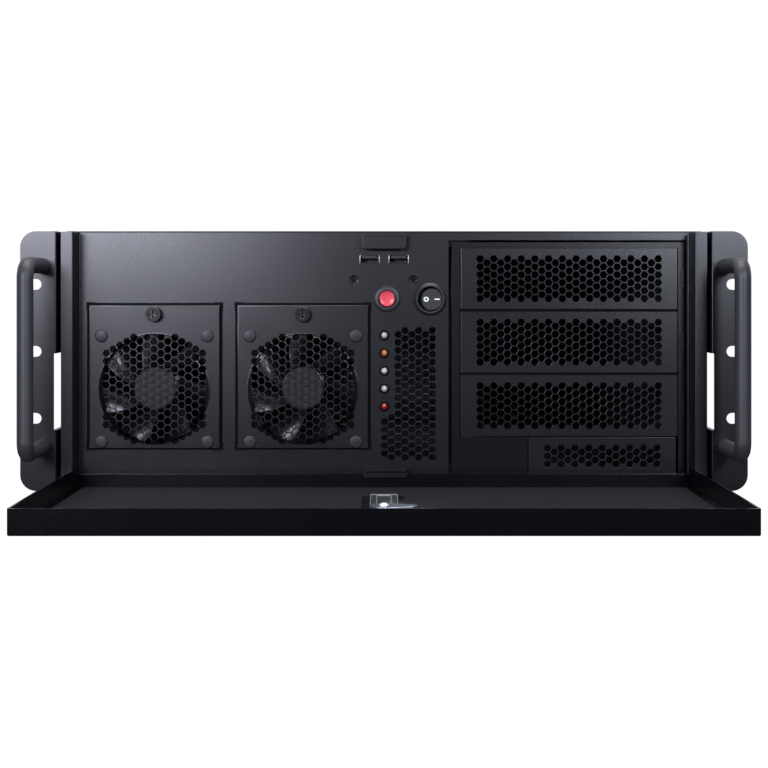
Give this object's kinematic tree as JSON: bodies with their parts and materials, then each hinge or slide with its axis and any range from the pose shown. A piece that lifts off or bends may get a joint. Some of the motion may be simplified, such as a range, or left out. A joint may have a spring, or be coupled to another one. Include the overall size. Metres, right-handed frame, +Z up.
{
  "type": "empty rackmount server case",
  "caption": "Rackmount server case, empty: steel body with rack ears and handles, a drop-down locking front door, fan covers, perforated drive-bay blanks, switches and lamps.",
  "frame": {"origin": "centre of the underside of the case body, without ears, handles and door", "axes": "+Z up, -Y out of the front, +X towards the right ear as seen from the front"},
  "size_m": [0.4826, 0.644, 0.173],
  "materials": {
    "powder_coat": "fine-textured matt black powder coat",
    "bare_steel": "zinc-plated",
    "screen_fabric": "woven filter screen",
    "black_plastic": "matt",
    "gloss_black": "semi-gloss",
    "red_plastic": "gloss",
    "lamp_clear": "water-clear epoxy",
    "lamp_amber": "tinted epoxy",
    "lamp_red": "tinted epoxy",
    "clear_plastic": "clear",
    "chrome": "bright",
    "board_green": "solder mask",
    "brass": "machined"
  },
  "bodies": {
    "case": {"base_pan": "powder_coat", "rear_panel": "powder_coat", "top_lid": "powder_coat", "front_panel": "powder_coat", "ear_left": "powder_coat", "ear_right": "powder_coat", "handle_left": "powder_coat", "handle_right": "powder_coat", "keeper_hook": "powder_coat", "door_stop_hook": "powder_coat", "fan_cover_left": "powder_coat", "fan_cover_right": "powder_coat", "bay_cover_top": "powder_coat", "bay_cover_middle": "powder_coat", "bay_cover_bottom": "powder_coat", "small_bay_cover": "powder_coat", "drive_cage": "powder_coat", "slot_covers": "powder_coat", "port_bracket": "powder_coat", "fan_bracket_left": "powder_coat", "fan_bracket_right": "powder_coat", "io_shield": "bare_steel", "ear_screws": "bare_steel", "handle_screws": "bare_steel", "slot_screws": "bare_steel", "usb_shells": "bare_steel", "bay_clips": "bare_steel", "fan_rivets": "black_plastic", "fan_frame_left": "black_plastic", "fan_frame_right": "black_plastic", "lamp_holders": "black_plastic", "power_bezel": "black_plastic", "reset_bezel": "black_plastic", "usb_inserts": "black_plastic", "thumbscrew_left": "gloss_black", "thumbscrew_right": "gloss_black", "lid_screws": "gloss_black", "port_screws": "gloss_black", "clear_lamps": "lamp_clear", "amber_lamp": "lamp_amber", "red_lamp": "lamp_red", "front_port_board": "board_green", "board_posts": "brass"},
    "door": {"door_tray": "powder_coat", "door_screen": "screen_fabric", "lamp_window_lens": "clear_plastic", "hinge_pins": "bare_steel", "lock_barrel": "chrome", "lock_ring_nut": "bare_steel"},
    "lock": {"lock_plug": "chrome", "lock_cam": "bare_steel", "lock_nut": "chrome"},
    "fan_left": {"fan_rotor_left": "black_plastic"},
    "fan_right": {"fan_rotor_right": "black_plastic"},
    "reset_cap": {"reset_button": "red_plastic"},
    "power_cap": {"power_rocker": "gloss_black"}
  },
  "joints": [
    {"name": "door_hinge", "type": "hinge", "parent": "case", "child": "door", "pos_m": [0, -0.236, 0.004], "axis": [-1, 0, 0], "range_deg": [0, 90]},
    {"name": "lock_turn", "type": "hinge", "parent": "door", "child": "lock", "pos_m": [0, -0.38, 0.006], "axis": [0, 0, -1], "range_deg": [0, 90]},
    {"name": "fan_left_spin", "type": "hinge", "parent": "case", "child": "fan_left", "pos_m": [-0.1549, -0.21, 0.0665], "axis": [0, -1, 0], "continuous": true},
    {"name": "fan_right_spin", "type": "hinge", "parent": "case", "child": "fan_right", "pos_m": [-0.05475, -0.21, 0.0665], "axis": [0, -1, 0], "continuous": true},
    {"name": "reset_press", "type": "slide", "parent": "case", "child": "reset_cap", "axis": [0, 1, 0], "range_m": [0, 0.0025], "stiffness_N_per_m": 300, "springref_m": -0.002},
    {"name": "power_rock", "type": "hinge", "parent": "case", "child": "power_cap", "pos_m": [0.0312, -0.2214, 0.127], "axis": [0, 0, 1], "range_deg": [0, 20]}
  ]
}
